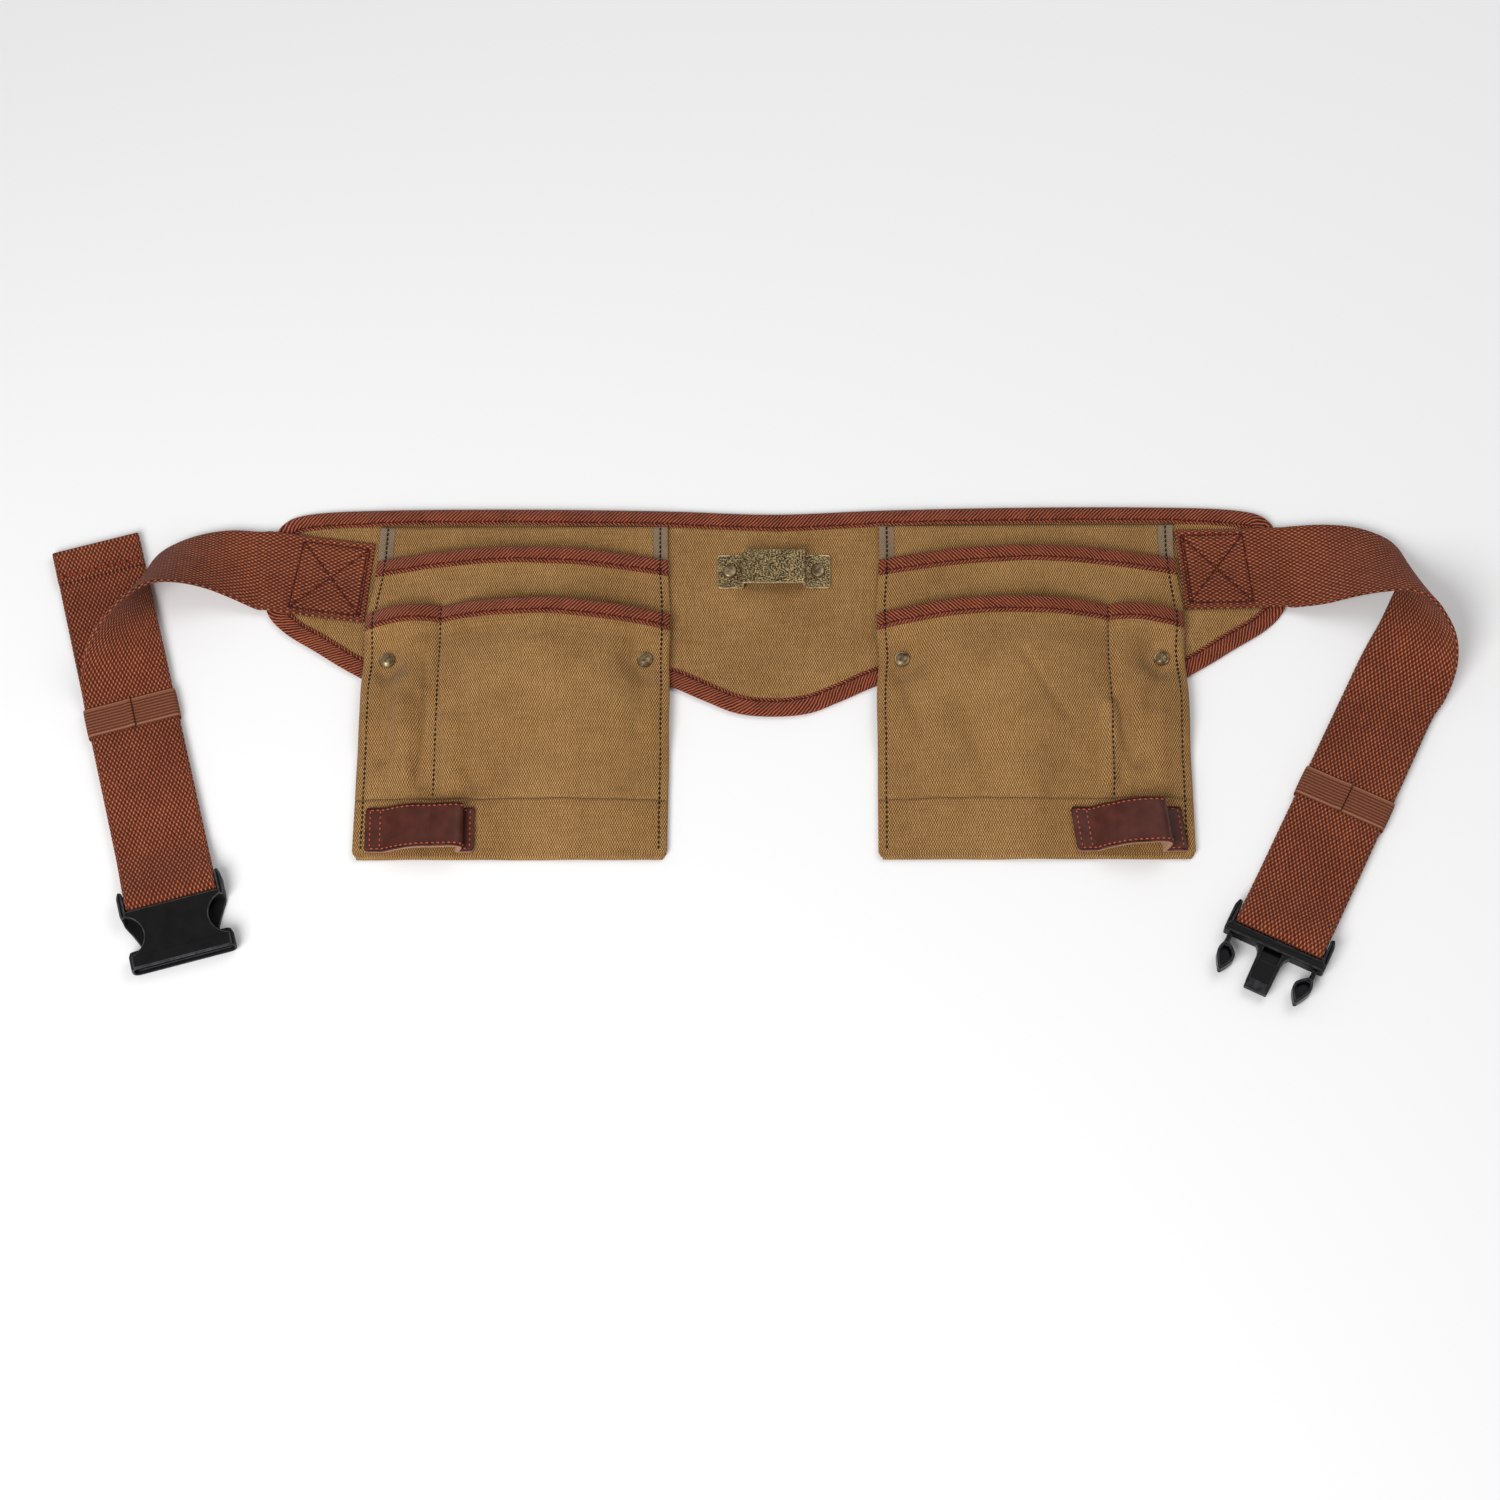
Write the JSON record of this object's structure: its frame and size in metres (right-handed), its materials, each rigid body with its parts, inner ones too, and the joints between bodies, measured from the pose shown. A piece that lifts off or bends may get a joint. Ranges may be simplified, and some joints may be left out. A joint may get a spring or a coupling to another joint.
{
  "type": "tool belt",
  "caption": "Canvas waist tool belt with two open pouches, leather tool loops, a brass clip bracket and webbing arms that end in a side-release buckle.",
  "frame": {"origin": "on the table under the middle of the waist panel, on the lining's underside", "axes": "+X along the belt to the plug's end, +Y to the panel's top edge, +Z out of the panel's front"},
  "size_m": [0.7929, 0.303, 0.0403],
  "materials": {
    "canvas": "plain-weave cotton canvas",
    "webbing_tape": "herringbone binding tape",
    "webbing": "basket-weave webbing",
    "elastic": "ribbed elastic",
    "twill_tape": "twill",
    "leather": "smooth grain, semi-matt",
    "brass": "antique, mottled",
    "plastic": "matt black acetal"
  },
  "bodies": {
    "belt": {"yoke_face": "canvas", "yoke_lining": "canvas", "panel_binding": "webbing_tape", "holder_bracket": "brass", "bracket_rivets": "brass", "left_pouch_back": "canvas", "left_rear_pocket": "canvas", "left_front_pocket": "canvas", "left_pouch_base": "canvas", "left_rear_binding": "webbing_tape", "left_front_binding": "webbing_tape", "left_side_tapes": "twill_tape", "left_tool_loop": "leather", "left_pouch_rivets": "brass", "left_strap_anchor": "webbing", "right_pouch_back": "canvas", "right_rear_pocket": "canvas", "right_front_pocket": "canvas", "right_pouch_base": "canvas", "right_rear_binding": "webbing_tape", "right_front_binding": "webbing_tape", "right_side_tapes": "twill_tape", "right_tool_loop": "leather", "right_pouch_rivets": "brass", "right_strap_anchor": "webbing"},
    "left_arm": {"left_strap": "webbing"},
    "right_arm": {"right_strap": "webbing"},
    "left_keeper_body": {"left_keeper": "elastic"},
    "right_keeper_body": {"right_keeper": "elastic"},
    "socket": {"female_buckle": "plastic"},
    "plug": {"male_buckle": "plastic"},
    "inner_prong_body": {"inner_prong": "plastic"},
    "outer_prong_body": {"outer_prong": "plastic"}
  },
  "joints": [
    {"name": "left_arm_fold", "type": "hinge", "parent": "belt", "child": "left_arm", "pos_m": [-0.292, 0.0275, 0.0045], "axis": [0, 1, 0], "range_deg": [-80, 80]},
    {"name": "right_arm_fold", "type": "hinge", "parent": "belt", "child": "right_arm", "pos_m": [0.292, 0.0275, 0.0045], "axis": [0, -1, 0], "range_deg": [-80, 80]},
    {"name": "left_keeper_slide", "type": "slide", "parent": "left_arm", "child": "left_keeper_body", "axis": [0.2706, -0.9627, 0], "range_m": [-0.003, 0.07]},
    {"name": "right_keeper_slide", "type": "slide", "parent": "right_arm", "child": "right_keeper_body", "axis": [-0.4431, -0.8965, 0], "range_m": [-0.054, 0.046]},
    {"name": "socket_swivel", "type": "hinge", "parent": "left_arm", "child": "socket", "pos_m": [-0.3284, -0.1716, 0.0057], "axis": [-0.9627, -0.2706, 0], "range_deg": [-60, 60]},
    {"name": "plug_swivel", "type": "hinge", "parent": "right_arm", "child": "plug", "pos_m": [0.27422, -0.19526, 0.0057], "axis": [-0.8965, 0.4431, 0], "range_deg": [-60, 60]},
    {"name": "inner_prong_flex", "type": "hinge", "parent": "plug", "child": "inner_prong_body", "pos_m": [0.24694, -0.19516, 0.0057], "axis": [0, 0, 1], "range_deg": [0, 12], "stiffness_Nm_per_rad": 0.3},
    {"name": "outer_prong_flex", "type": "hinge", "parent": "plug", "child": "outer_prong_body", "pos_m": [0.29087, -0.21687, 0.0057], "axis": [0, 0, -1], "range_deg": [0, 12], "stiffness_Nm_per_rad": 0.3}
  ]
}
